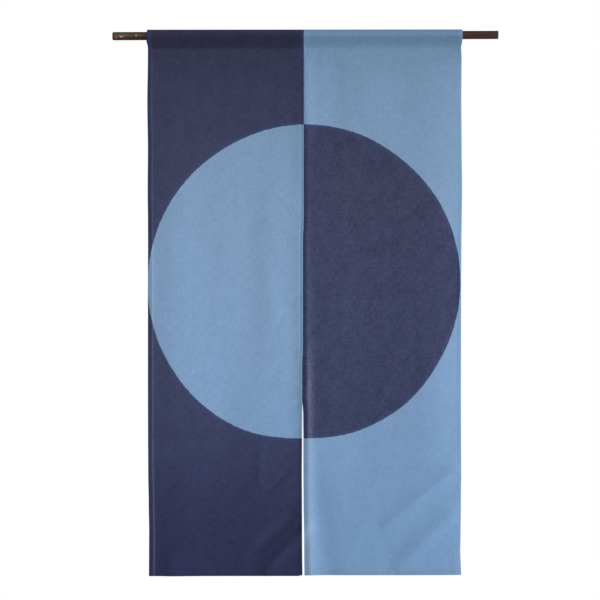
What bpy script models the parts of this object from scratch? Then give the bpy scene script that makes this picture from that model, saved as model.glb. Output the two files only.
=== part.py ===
"""A noren curtain: two dyed cloth panels on a round wooden hanging rod.

Metres, +Z up. The origin is on the rod's axis, halfway between its ends, and
the front of the cloth faces -Y. The cloth is modelled in the shape in which it
hangs: almost flat, with a sleeve around the rod, doubled hems and soft folds.
"""

import math

import bmesh
import bpy

# Rod
ROD_LENGTH = 1.059
ROD_DIAMETER = 0.0225
ROD_TILT = math.radians(0.186)
ROD_SIDES = 32
ROD_END_BEVEL = 0.0010

# Cloth
CLOTH_LENGTH = 1.500
CLOTH_THICKNESS = 0.0010
HEM_THICKNESS = 0.0018
HEM_STEP = 0.0012
OUTER_HEM = 0.0120
BOTTOM_HEM = 0.0156
BODY_COLUMNS = 16
BODY_ROWS = 30

# Sleeve around the rod: its fold stands a little above the rod
SLEEVE_DEPTH = 0.0510
TOP_ABOVE_AXIS = 0.0160
TOP_SLOPE = 0.00084
ROD_CLEARANCE = 0.0003
SLEEVE_ARC_STEPS = 6
SLEEVE_FLANK_STEPS = 2
SLEEVE_SEW_DOWN = 0.0029

# Folds fade in below the sleeve's stitch line
FOLD_FADE = 0.060

# Edges of the two panels, a row for each level:
# drop below the top, then x of the left panel's outer and inner edge,
# and x of the right panel's inner and outer edge
EDGES = (
    # drop, left_outer, left_inner, right_inner, right_outer
    (0.000, -0.4346, -0.0047, -0.0044, 0.4298),
    (0.028, -0.4362, -0.0047, -0.0044, 0.4297),
    (0.051, -0.4323, -0.0047, -0.0044, 0.4269),
    (0.083, -0.4323, -0.0047, -0.0044, 0.4283),
    (0.198, -0.4338, -0.0047, -0.0044, 0.4278),
    (0.330, -0.4320, -0.0047, -0.0044, 0.4287),
    (0.440, -0.4328, -0.0047, -0.0044, 0.4300),
    (0.530, -0.4320, -0.0047, -0.0044, 0.4288),
    (0.575, -0.4318, -0.0067, -0.0064, 0.4281),
    (0.720, -0.4321, -0.0067, -0.0064, 0.4272),
    (0.880, -0.4321, -0.0070, -0.0067, 0.4270),
    (0.920, -0.4321, -0.0088, -0.0085, 0.4269),
    (1.000, -0.4321, -0.0089, -0.0086, 0.4268),
    (1.060, -0.4320, -0.0089, -0.0046, 0.4268),
    (1.130, -0.4318, -0.0095, -0.0040, 0.4271),
    (1.214, -0.4314, -0.0101, -0.0039, 0.4275),
    (1.300, -0.4300, -0.0097, -0.0034, 0.4267),
    (1.379, -0.4288, -0.0094, -0.0020, 0.4258),
    (1.434, -0.4291, -0.0092, -0.0016, 0.4250),
    (1.500, -0.4294, -0.0084, -0.0012, 0.4272),
)

# Width of the hems beside the seam, for each panel, at the top and at the bottom
LEFT_INNER_HEM = (0.0075, 0.0080)
RIGHT_INNER_HEM = (0.0085, 0.0140)

# Bottom edge: how much higher than the full length it hangs, outer and inner end
LEFT_BOTTOM_RISE = (0.0000, 0.0020)
RIGHT_BOTTOM_RISE = (0.0020, 0.0020)

# Main folds, each along a line from its upper to its lower end:
# x and drop of both ends, half width across the line, and depth,
# positive towards the back
FOLDS = (
    # x_upper, drop_upper, x_lower, drop_lower, half_width, depth
    (-0.026, 0.060, -0.024, 0.240, 0.020, 0.0020),
    (-0.128, 0.400, -0.131, 0.950, 0.028, 0.0040),
    (-0.083, 0.450, -0.080, 0.900, 0.026, -0.0025),
    (-0.300, 0.150, -0.290, 1.100, 0.060, -0.0030),
    (-0.210, 0.900, -0.240, 1.450, 0.055, 0.0030),
    (-0.050, 1.235, -0.116, 1.272, 0.022, 0.0020),
    (-0.026, 1.370, -0.080, 1.430, 0.022, 0.0025),
    (-0.340, 1.200, -0.350, 1.500, 0.050, -0.0030),
    (0.014, 0.560, 0.020, 1.500, 0.016, -0.0030),
    (0.090, 0.060, 0.085, 0.300, 0.026, 0.0020),
    (0.238, 0.060, 0.230, 0.260, 0.026, 0.0016),
    (0.315, 0.060, 0.320, 0.300, 0.026, 0.0016),
    (0.160, 0.350, 0.150, 1.200, 0.060, 0.0030),
    (0.330, 0.500, 0.340, 1.150, 0.055, -0.0030),
    (0.405, 1.236, 0.232, 1.354, 0.026, 0.0025),
    (0.397, 1.346, 0.232, 1.464, 0.026, 0.0030),
)

# Colours, linear
NAVY = (0.040, 0.044, 0.098, 1.0)
LIGHT_BLUE = (0.190, 0.325, 0.480, 1.0)
DARK_WOOD = (0.075, 0.050, 0.034, 1.0)

ROD_RADIUS = ROD_DIAMETER / 2
SLEEVE_RADIUS = ROD_RADIUS + ROD_CLEARANCE


def clear_scene():
    """Remove every object, so that a rerun starts empty."""
    for obj in list(bpy.data.objects):
        bpy.data.objects.remove(obj, do_unlink=True)


def make_material(name, colour, roughness):
    """A plain Principled material."""
    material = bpy.data.materials.new(name)
    material.use_nodes = True
    shader = material.node_tree.nodes["Principled BSDF"]
    shader.inputs["Base Color"].default_value = colour
    shader.inputs["Roughness"].default_value = roughness
    shader.inputs["Metallic"].default_value = 0.0
    return material


def lerp(start, end, share):
    return start + (end - start) * share


def smoothstep(share):
    share = min(max(share, 0.0), 1.0)
    return share * share * (3 - 2 * share)


def edge_x(column, drop):
    """x of one edge at a level, smoothed between the rows of EDGES."""
    drop = min(max(drop, EDGES[0][0]), EDGES[-1][0])
    for upper, lower in zip(EDGES, EDGES[1:]):
        if drop <= lower[0]:
            share = (drop - upper[0]) / (lower[0] - upper[0])
            return lerp(upper[column], lower[column], smoothstep(share))
    return EDGES[-1][column]


def fold_depth(x, drop):
    """Distance that the folds push the cloth back, at a point of the sheet."""
    depth = 0.0
    for x_upper, drop_upper, x_lower, drop_lower, half_width, fold in FOLDS:
        run_x = x_lower - x_upper
        run_drop = drop_lower - drop_upper
        along = (x - x_upper) * run_x + (drop - drop_upper) * run_drop
        share = min(max(along / (run_x**2 + run_drop**2), 0.0), 1.0)
        distance = math.hypot(
            x - x_upper - share * run_x, drop - drop_upper - share * run_drop
        )
        depth += fold * math.exp(-((distance / half_width) ** 2))
    return depth * smoothstep((drop - SLEEVE_DEPTH) / FOLD_FADE)


def axis_height(x):
    """Height of the rod's axis at x."""
    return x * math.tan(ROD_TILT)


def top_height(x):
    """Height of the cloth's upper fold at x."""
    return TOP_ABOVE_AXIS + TOP_SLOPE * x


def column_positions(width, left_hem, right_hem):
    """Distances from the left edge of the lines that run down a panel."""
    first = left_hem + HEM_STEP
    last = width - right_hem - HEM_STEP
    body = [lerp(first, last, i / BODY_COLUMNS) for i in range(BODY_COLUMNS + 1)]
    return [0.0, left_hem, *body, width - right_hem, width]


def column_thickness(index, count):
    """The two lines at each side are on the doubled hem."""
    on_hem = index < 2 or index >= count - 2
    return HEM_THICKNESS if on_hem else CLOTH_THICKNESS


def row_levels():
    """Drop of each line across the hanging part, from the bottom up, and whether it is hem."""
    first = CLOTH_LENGTH - BOTTOM_HEM - HEM_STEP
    last = SLEEVE_DEPTH + SLEEVE_SEW_DOWN
    levels = [(CLOTH_LENGTH, True), (CLOTH_LENGTH - BOTTOM_HEM, True)]
    levels += [(lerp(first, last, i / BODY_ROWS), False) for i in range(BODY_ROWS + 1)]
    return levels + [(SLEEVE_DEPTH, False)]


def sleeve_angles(first_tangent, last_tangent):
    """Angles from the vertical of the sleeve's front half, from its stitch line to its fold."""
    flank = [
        lerp(math.pi, last_tangent, (i / SLEEVE_FLANK_STEPS) ** 0.3)
        for i in range(1, SLEEVE_FLANK_STEPS)
    ]
    arc = [
        lerp(last_tangent, first_tangent, i / SLEEVE_ARC_STEPS)
        for i in range(SLEEVE_ARC_STEPS + 1)
    ]
    return flank + arc


def sleeve_section(x, thickness):
    """Inner and outer points (y, z) of the sleeve, from the front stitch line over the top to the back.

    The cloth lies around the rod and runs straight from it to the fold above
    and to the stitch line below, so it follows the two tangents.
    """
    axis = axis_height(x)
    rise = (top_height(x) - axis) / (1 + thickness / SLEEVE_RADIUS)
    hang = axis - (top_height(x) - SLEEVE_DEPTH)
    first_tangent = math.acos(SLEEVE_RADIUS / rise)
    last_tangent = math.pi - math.acos(SLEEVE_RADIUS / hang)
    front = []
    for angle in sleeve_angles(first_tangent, last_tangent):
        normal = min(max(angle, first_tangent), last_tangent)
        radius = SLEEVE_RADIUS / math.cos(angle - normal)
        inner = (radius * math.sin(angle), axis + radius * math.cos(angle))
        outer = (
            inner[0] + thickness * math.sin(normal),
            inner[1] + thickness * math.cos(normal),
        )
        front.append((inner, outer))
    fold = ((0.0, axis + rise), (0.0, top_height(x)))
    back = list(reversed(front))
    front = [((-a[0], a[1]), (-b[0], b[1])) for a, b in front]
    return [*front, fold, *back]


def panel_path(edge_columns, hems, rises, share_index, count):
    """Inner and outer points of one line that runs up a panel and around the rod."""
    left_column, right_column = edge_columns
    path = []
    body_thickness = column_thickness(share_index, count)
    for drop, in_bottom_hem in row_levels():
        x = line_x(left_column, right_column, hems, share_index, drop)
        thickness = HEM_THICKNESS if in_bottom_hem else body_thickness
        across = share_index / (count - 1)
        low = smoothstep((drop - SLEEVE_DEPTH) / (CLOTH_LENGTH - SLEEVE_DEPTH))
        rise = lerp(rises[0], rises[1], across) * low
        z = top_height(x) - drop + rise
        front = fold_depth(x, drop) - CLOTH_THICKNESS
        path.append(((x, front + thickness, z), (x, front, z)))
    middle = line_x(left_column, right_column, hems, share_index, SLEEVE_DEPTH / 2)
    for inner, outer in sleeve_section(middle, body_thickness):
        drop = top_height(middle) - inner[1]
        x = line_x(left_column, right_column, hems, share_index, drop)
        path.append(((x, *inner), (x, *outer)))
    return path


def line_x(left_column, right_column, hems, share_index, drop):
    """x of one line of a panel at a level."""
    left_hem, right_hem = hems(drop)
    left = edge_x(left_column, drop)
    width = edge_x(right_column, drop) - left
    return left + column_positions(width, left_hem, right_hem)[share_index]


def box_faces(near, far):
    """The six faces of a block of cloth between two ends of four corners each."""
    a, b, c, d = near
    e, f, g, h = far
    return (a, b, c, d), (e, f, g, h), (a, b, f, e), (b, c, g, f), (c, d, h, g), (d, a, e, h)


def build_panel(name, edge_columns, hems, rises, material, collection):
    """Loft one panel, with its hems and its sleeve sewn down at the back, as one closed solid.

    The sheet is a row of small blocks of cloth, and only the faces that no two
    blocks share are kept. The sleeve's last block ends on the back of the sheet.
    """
    count = BODY_COLUMNS + 5
    mesh = bmesh.new()
    lines = []
    for index in range(count):
        path = panel_path(edge_columns, hems, rises, index, count)
        line = [(mesh.verts.new(inner), mesh.verts.new(outer)) for inner, outer in path]
        stitch = len(row_levels()) - 1
        line.append((line[stitch][0], line[stitch - 1][0]))
        lines.append(line)
    faces = {}
    for left, right in zip(lines, lines[1:]):
        for step in range(len(left) - 1):
            near = (*left[step], *reversed(right[step]))
            far = (*left[step + 1], *reversed(right[step + 1]))
            for face in box_faces(near, far):
                faces.setdefault(frozenset(face), []).append(face)
    for same in faces.values():
        if len(same) == 1:
            mesh.faces.new(same[0])
    bmesh.ops.recalc_face_normals(mesh, faces=mesh.faces)
    data = bpy.data.meshes.new(name)
    mesh.to_mesh(data)
    mesh.free()
    data.materials.append(material)
    data.shade_smooth()
    panel = bpy.data.objects.new(name, data)
    collection.objects.link(panel)
    return panel


def left_hems(drop):
    share = drop / CLOTH_LENGTH
    return OUTER_HEM, lerp(*LEFT_INNER_HEM, share)


def right_hems(drop):
    share = drop / CLOTH_LENGTH
    return lerp(*RIGHT_INNER_HEM, share), OUTER_HEM


def build_rod(collection):
    """A round rod with eased ends, a little higher at its right end."""
    bpy.ops.mesh.primitive_cylinder_add(
        vertices=ROD_SIDES, radius=ROD_RADIUS, depth=ROD_LENGTH
    )
    rod = bpy.context.object
    rod.name = "rod"
    rod.rotation_euler = (0.0, math.pi / 2 - ROD_TILT, 0.0)
    bevel = rod.modifiers.new("eased_ends", "BEVEL")
    bevel.width = ROD_END_BEVEL
    bevel.segments = 2
    bevel.limit_method = "ANGLE"
    bevel.angle_limit = math.radians(60)
    rod.data.materials.append(make_material("rod_wood", DARK_WOOD, 0.6))
    rod.data.shade_smooth()
    for owner in list(rod.users_collection):
        owner.objects.unlink(rod)
    collection.objects.link(rod)


def main():
    clear_scene()
    collection = bpy.data.collections.new("noren_curtain_with_rod")
    bpy.context.scene.collection.children.link(collection)
    build_rod(collection)
    navy = make_material("panel_left_cloth", NAVY, 0.9)
    light = make_material("panel_right_cloth", LIGHT_BLUE, 0.9)
    build_panel("panel_left", (1, 2), left_hems, LEFT_BOTTOM_RISE, navy, collection)
    build_panel("panel_right", (3, 4), right_hems, RIGHT_BOTTOM_RISE, light, collection)


main()
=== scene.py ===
"""The looks of the noren curtain: two dyed hemp panels, their sewing, and the rod they hang from."""

import math

import bpy
import numpy as np
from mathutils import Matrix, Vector, noise


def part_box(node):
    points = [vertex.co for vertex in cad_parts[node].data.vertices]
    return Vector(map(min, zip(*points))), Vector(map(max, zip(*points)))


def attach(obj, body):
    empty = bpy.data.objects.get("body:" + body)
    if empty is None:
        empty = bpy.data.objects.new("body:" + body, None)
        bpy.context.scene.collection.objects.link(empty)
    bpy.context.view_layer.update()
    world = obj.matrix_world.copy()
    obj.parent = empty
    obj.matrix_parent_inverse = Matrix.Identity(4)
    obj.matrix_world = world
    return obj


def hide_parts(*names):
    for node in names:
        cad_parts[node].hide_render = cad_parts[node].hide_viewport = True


# Rod, as in the solids
ROD_RADIUS = 0.01125
ROD_TILT = math.radians(0.186)
ROD_CLEARANCE = 0.0003

# Cloth: its length, thickness, hems and sleeve as in the solids, and the height of its upper fold,
# of its lower edge and of its sleeve as the photograph shows them
CLOTH_LENGTH = 1.500
CLOTH_THICKNESS = 0.0010
OUTER_HEM = 0.0120
BOTTOM_HEM = 0.0156
LEFT_INNER_HEM = (0.0075, 0.0080)
RIGHT_INNER_HEM = (0.0085, 0.0140)
RIGHT_OUTER_HEM = (OUTER_HEM, OUTER_HEM)
LEFT_BOTTOM_RISE = (-0.0009, 0.0013)
RIGHT_BOTTOM_RISE = (0.0011, 0.0011)
LEFT_RISES_FROM = 0.965
SLEEVE_DEPTH = 0.0510
SLEEVE_SEW_DOWN = 0.0029
TOP_ABOVE_AXIS = 0.0166
TOP_SLOPE = 0.00084

# Folds fade in below the sleeve over this length, and run out towards both ends by this power
FOLD_FADE = 0.060
FOLD_TAPER = 4

# Hems in the scene: the width of the left edge's hem at the cloth's upper and lower end, how far it
# stands proud and the width over which it steps back, and the slope at which the right edge's hem
# turns back
LEFT_OUTER_HEM = (0.0112, 0.0142)
HEM_STANDS = 0.0010
HEM_STEP = 0.0050
HEM_TURNS_BACK = 0.12

# Stitched lines: how far they pull the cloth in, and the half width of that groove at the sides and
# at the bottom
GROOVE_DEPTH = 0.00030
SIDE_GROOVE = 0.0010
BOTTOM_GROOVE = 0.0018

# Layers of a hem: the gap between them where it hangs open and where it is sewn over, how far the
# middle and the back one stand behind the front one at the bottom hem, the share of the hem's width
# that is turned in, the width over which the folded cloth's colour ends, and where below the sleeve
# and above the bottom hem the gap changes, and over what length
OPEN_GAP = 0.00070
PRESSED_GAP = 0.00025
MIDDLE_LAYER = 0.0007
BACK_LAYER = 0.0019
TURN_IN = 0.70
SEWN_EDGE = 0.0020
GAP_OPENS_FROM = 0.006
GAP_CLOSES_AT = 0.004
GAP_CHANGES_OVER = 0.030

# Seam and slit: how far the panels overlap along the seam, the drop down to which it is sewn firmly,
# where the slit opens and over what length, and how far the free edges below it and the two outer
# edges stand from where the solids have them, left one first
SEAM_OVERLAP = 0.00004
SEAM_SEWN_TO = 0.530
SLIT_OPENS_AT = 1.007
SLIT_OPENS_WITHIN = 0.008
FREE_EDGES_LEAN = (0.0005, -0.0013)
OUTER_EDGES_OUT = (-0.0002, 0.0012)

# Stitches: thread, length on each face, distance from one to the next, how far they lie in from the
# fold that they hold, the rings of one stitch from end to end, how high a stitch lies at its middle
# and how much lower at its ends, in thread radii, and the close stitches where the seam's firm part
# ends
THREAD_RADIUS = 0.00026
STITCH_LENGTH = 0.0036
STITCH_PITCH = 0.0072
STITCH_INSET = 0.0014
STITCH_RINGS = np.array((-1.0, -0.6, 0.0, 0.6, 1.0))
STITCH_HEIGHT = 1.2
STITCH_DIP = 2.2
SEAM_BAR_LENGTH = 0.010
SEAM_BAR_PITCH = 0.0012

# Rod: how far its two ends are rounded, how uneven the hand-worked surface is and how often along
# its length, and its mesh
ROD_ENDS_ROUNDED = (0.0026, 0.0010)
ROD_UNEVEN = 0.00012
ROD_UNEVEN_OFTEN = 14
ROD_RING_STEP = 0.008
ROD_CORNERS = 64
ROD_END_RINGS = 6

# Sleeve: how far the single cloth stands off the rod, the width over which it rises where hems
# double it, how round its upper fold is, and how far and how softly the stitching pulls each panel's
# sleeve in
SLEEVE_EASE = 0.0004
DOUBLED_FADE = 0.006
TOP_ROUNDING = 0.11
LEFT_SLEEVE_PULL = (0.0010, 0.0012)
RIGHT_SLEEVE_PULL = (0.0030, 0.0022)

# Mesh: spacing over the open cloth, the lines beside a side hem's stitches, counted inwards, the
# rows beside the bottom hem's, counted upwards, the rows beside the sleeve's, counted downwards, the
# distance to the first row of the open cloth, and the rows over the top as shares of its angle
COLUMN_STEP = 0.0034
ROW_STEP = 0.0050
BESIDE_STITCHES = (
    -0.0018, -0.0008, 0.0, 0.0008, 0.0018, 0.0030, 0.0045, 0.0062, 0.0082, 0.0105, 0.0132,
)
BESIDE_BOTTOM_STITCHES = (-0.009, -0.005, -0.002, -0.001, 0.0)
BESIDE_SLEEVE_STITCHES = (0.0008, 0.0, -0.0008, -0.0020)
FIRST_ROW = 0.0015
TOP_ROWS = (0.82, 0.64, 0.47, 0.33, 0.22, 0.13, 0.06)

# Edges of the two panels, a row for each level, as in the solids
EDGES = np.array((
    # drop, left_outer, left_inner, right_inner, right_outer
    (0.000, -0.4346, -0.0047, -0.0044, 0.4298),
    (0.028, -0.4362, -0.0047, -0.0044, 0.4297),
    (0.051, -0.4323, -0.0047, -0.0044, 0.4269),
    (0.083, -0.4323, -0.0047, -0.0044, 0.4283),
    (0.198, -0.4338, -0.0047, -0.0044, 0.4278),
    (0.330, -0.4320, -0.0047, -0.0044, 0.4287),
    (0.440, -0.4328, -0.0047, -0.0044, 0.4300),
    (0.530, -0.4320, -0.0047, -0.0044, 0.4288),
    (0.575, -0.4318, -0.0067, -0.0064, 0.4281),
    (0.720, -0.4321, -0.0067, -0.0064, 0.4272),
    (0.880, -0.4321, -0.0070, -0.0067, 0.4270),
    (0.920, -0.4321, -0.0088, -0.0085, 0.4269),
    (1.000, -0.4321, -0.0089, -0.0086, 0.4268),
    (1.060, -0.4320, -0.0089, -0.0046, 0.4268),
    (1.130, -0.4318, -0.0095, -0.0040, 0.4271),
    (1.214, -0.4314, -0.0101, -0.0039, 0.4275),
    (1.300, -0.4300, -0.0097, -0.0034, 0.4267),
    (1.379, -0.4288, -0.0094, -0.0020, 0.4258),
    (1.434, -0.4291, -0.0092, -0.0016, 0.4250),
    (1.500, -0.4294, -0.0084, -0.0012, 0.4272),
))
LEFT_EDGES = (1, 2)
RIGHT_EDGES = (3, 4)

# Folds, each along a line from its upper to its lower end: x and drop of both ends,
# half width across the line, and depth, positive towards the back
FOLDS = (
    # x_upper, drop_upper, x_lower, drop_lower, half_width, depth
    (-0.002, -0.100, -0.004, 0.420, 0.032, -0.0020),
    (-0.152, 0.330, -0.152, 1.020, 0.040, 0.0016),
    (-0.100, 0.400, -0.098, 0.950, 0.036, -0.0011),
    (-0.365, 0.050, -0.360, 1.250, 0.070, -0.0040),
    (-0.210, 0.830, -0.245, 1.530, 0.055, 0.0030),
    (-0.124, 1.115, -0.126, 1.265, 0.014, -0.0024),
    (-0.022, 1.323, -0.160, 1.454, 0.017, 0.0070),
    (0.020, 1.354, -0.124, 1.496, 0.017, -0.0075),
    (-0.340, 1.160, -0.350, 1.600, 0.050, -0.0030),
    (-0.378, 1.430, -0.355, 1.530, 0.024, -0.0036),
    (0.090, 0.030, 0.085, 0.330, 0.030, 0.0014),
    (0.270, 0.030, 0.270, 0.290, 0.040, 0.0008),
    (0.160, 0.250, 0.150, 1.300, 0.060, 0.0030),
    (0.330, 0.420, 0.340, 1.230, 0.055, -0.0030),
    (0.425, 1.199, 0.205, 1.379, 0.024, -0.0032),
    (0.425, 1.312, 0.240, 1.486, 0.024, -0.0040),
    (0.018, 1.200, 0.080, 1.600, 0.030, 0.0030),
    (0.470, -0.200, 0.470, 1.800, 0.074, 0.0088),
)

# Ridge along the middle: the sewn hems are stiff and stand forward of the open cloth. Its height and
# the place of its crest at each level, and then its shape across
RIDGE_HEIGHTS = np.array((
    # drop, height, x of the crest from the stitched line
    (0.055, 0.0000, -0.0020),
    (0.085, 0.0014, -0.0020),
    (0.270, 0.0016, -0.0020),
    (0.480, 0.0017, -0.0022),
    (0.560, 0.0028, -0.0026),
    (0.860, 0.0030, -0.0026),
    (0.920, 0.0045, 0.0018),
    (1.000, 0.0046, 0.0018),
    (1.050, 0.0045, -0.0016),
    (1.150, 0.0043, -0.0018),
    (1.360, 0.0043, -0.0020),
    (1.460, 0.0043, -0.0006),
    (1.500, 0.0043, -0.0006),
))
RIDGE_SHAPE = np.array((
    # x from the crest, share of the height
    (-0.0480, 0.00),
    (-0.0400, 0.06),
    (-0.0320, 0.20),
    (-0.0260, 0.38),
    (-0.0210, 0.56),
    (-0.0175, 0.59),
    (-0.0130, 0.66),
    (-0.0010, 0.99),
    (0.0010, 0.98),
    (0.0050, 0.78),
    (0.0100, 0.52),
    (0.0150, 0.31),
    (0.0200, 0.15),
    (0.0260, 0.04),
    (0.0330, 0.00),
))

# How far the ridge's corners are rounded across and down, where a painted highlight lies beside the
# crest and how wide to its left and right, how fast that fades where the ridge is lower, and how
# strongly and widely a painted highlight lies along the left edge's hem
RIDGE_ROUNDING = (0.0009, 0.030)
CREST_HIGHLIGHT_OFFSET = 0.0040
CREST_HIGHLIGHT_WIDTHS = (0.0045, 0.0105)
CREST_HIGHLIGHT_POWER = 3
HEM_HIGHLIGHT_STRENGTH = 0.65
HEM_HIGHLIGHT_HALF_WIDTH = 0.0022
HEM_HIGHLIGHT_LESS_ABOVE = 0.25

# Fine creases that are too small for the solids, in the same terms
CREASES = (
    # x_upper, drop_upper, x_lower, drop_lower, half_width, depth
    (-0.0120, 0.724, -0.0780, 0.807, 0.0070, 0.0006),
    (-0.0050, 0.863, -0.0990, 0.942, 0.0070, 0.0007),
    (-0.0090, 1.014, -0.0610, 1.062, 0.0070, 0.0008),
    (-0.0400, 1.206, -0.1150, 1.277, 0.0075, 0.0032),
    (-0.0100, 1.296, -0.1000, 1.334, 0.0080, 0.0014),
    (0.4250, 1.199, 0.2050, 1.370, 0.0070, -0.0009),
)

# Slow, uneven waves of the hanging cloth: size of one wave across and down, and its depth
WAVES = (
    # across, down, depth
    (0.110, 0.450, 0.0008),
    (0.035, 0.120, 0.0002),
)

# Dyed disc: its centre, and the resist line of the half that each panel carries, by hand and so
# not quite round
DISC_X = -0.0037
DISC_DROP = 0.6914
DISC_RADII = np.array((
    # degrees above the centre's level, left_radius, right_radius
    (-90, 0.4310, 0.4310),
    (-81, 0.4337, 0.4335),
    (-73, 0.4388, 0.4366),
    (-65, 0.4406, 0.4369),
    (-49, 0.4387, 0.4367),
    (-41, 0.4366, 0.4343),
    (-33, 0.4344, 0.4311),
    (0, 0.4290, 0.4300),
    (28, 0.4259, 0.4305),
    (52, 0.4251, 0.4294),
    (60, 0.4254, 0.4303),
    (68, 0.4262, 0.4320),
    (76, 0.4284, 0.4316),
    (90, 0.4305, 0.4311),
))
LEFT_DISC = 1
RIGHT_DISC = 2

# Camera, at the photograph's scale of 2.7463 mm for each of its 600 pixels
PIXEL = 0.0027463
PHOTO_PIXELS = 600
CAMERA_DISTANCE = 6.0
CAMERA_X = -0.0147
CAMERA_Z = -0.7262
SENSOR = 36.0

# Light: the key's strength, colour, apparent size and the direction it comes from, the soft light
# from all around, and the light behind the cloth
KEY_STRENGTH = 4.8
KEY_COLOUR = (1.0, 0.985, 0.96)
KEY_ANGLE = math.radians(26)
KEY_FROM = (0.80, -0.52, 0.20)
SURROUND = (0.15, 0.155, 0.165, 1.0)
BACK_LIGHT_POWER = 3.1
BACK_LIGHT_SIZE = (1.4, 0.92)
BACK_LIGHT_DISTANCE = 0.30
BACK_LIGHT_HEIGHT = -0.66
BACK_LIGHT_COLOUR = (1.0, 0.99, 0.95)

# Floor below the curtain
FLOOR_Z = -1.95
FLOOR_RADIUS = 2.4
FLOOR_CORNERS = 128
FLOOR_COLOURS = ((0.62, 0.62, 0.61, 1.0), (0.68, 0.68, 0.67, 1.0))


def smoothstep(share):
    share = np.clip(share, 0.0, 1.0)
    return share * share * (3 - 2 * share)


def lerp(start, end, share):
    return start + (end - start) * share


def soft_positive(value, rounding):
    """The value where it is positive and nought where it is negative, with a rounded corner."""
    return (value + np.sqrt(value**2 + rounding**2)) / 2


def axis_height(x):
    """Height of the rod's axis at x."""
    return x * math.tan(ROD_TILT)


def top_height(x):
    """Height of the cloth's upper fold at x."""
    return TOP_ABOVE_AXIS + TOP_SLOPE * x


def edge_x(column, drop):
    """x of one edge at a level, smoothed between the rows of EDGES."""
    levels = EDGES[:, 0]
    drop = np.clip(drop, levels[0], levels[-1])
    upper = np.clip(np.searchsorted(levels, drop) - 1, 0, len(levels) - 2)
    share = (drop - levels[upper]) / (levels[upper + 1] - levels[upper])
    return lerp(EDGES[upper, column], EDGES[upper + 1, column], smoothstep(share))


def seam_x(drop):
    """x of the line where the two panels meet."""
    return (edge_x(LEFT_EDGES[1], drop) + edge_x(RIGHT_EDGES[0], drop)) / 2


def crease_depth(rows, x, drop):
    """Distance that the folds or creases push the cloth back."""
    depth = np.zeros(np.broadcast(x, drop).shape)
    for x_upper, drop_upper, x_lower, drop_lower, half_width, fold in rows:
        run_x = x_lower - x_upper
        run_drop = drop_lower - drop_upper
        along = (x - x_upper) * run_x + (drop - drop_upper) * run_drop
        share = np.clip(along / (run_x**2 + run_drop**2), 0.0, 1.0)
        across = np.hypot(x - x_upper - share * run_x, drop - drop_upper - share * run_drop)
        depth += fold * np.exp(-((across / half_width) ** 2)) * (1 - (2 * share - 1) ** FOLD_TAPER)
    return depth


def table_value(table, place, rounding, column=1):
    """One column of a table at these places in its first, with its corners rounded."""
    shifts = np.linspace(-rounding, rounding, 5)
    return sum(np.interp(place + shift, table[:, 0], table[:, column]) for shift in shifts) / len(shifts)


def past_crest(x, drop):
    """Distance to the right of the ridge's crest, which is near the right panel's stitched line."""
    stitched = edge_x(RIGHT_EDGES[0], drop) + lerp(*RIGHT_INNER_HEM, drop / CLOTH_LENGTH)
    return x - stitched - table_value(RIDGE_HEIGHTS, drop, RIDGE_ROUNDING[1], 2)


def ridge_height(x, drop):
    """How far the ridge along the middle stands forward."""
    across, down = RIDGE_ROUNDING
    shape = table_value(RIDGE_SHAPE, past_crest(x, drop), across)
    return shape * table_value(RIDGE_HEIGHTS, drop, down)


def wave_depth(x, drop):
    """Slow uneven waves, the same at each run."""
    x, drop = np.broadcast_arrays(x, drop)
    depth = np.zeros(x.shape)
    for across, down, size in WAVES:
        points = zip((x / across).ravel(), (drop / down).ravel())
        values = [noise.noise(Vector((a, b, across))) for a, b in points]
        depth += size * np.array(values).reshape(x.shape)
    return depth


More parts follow.
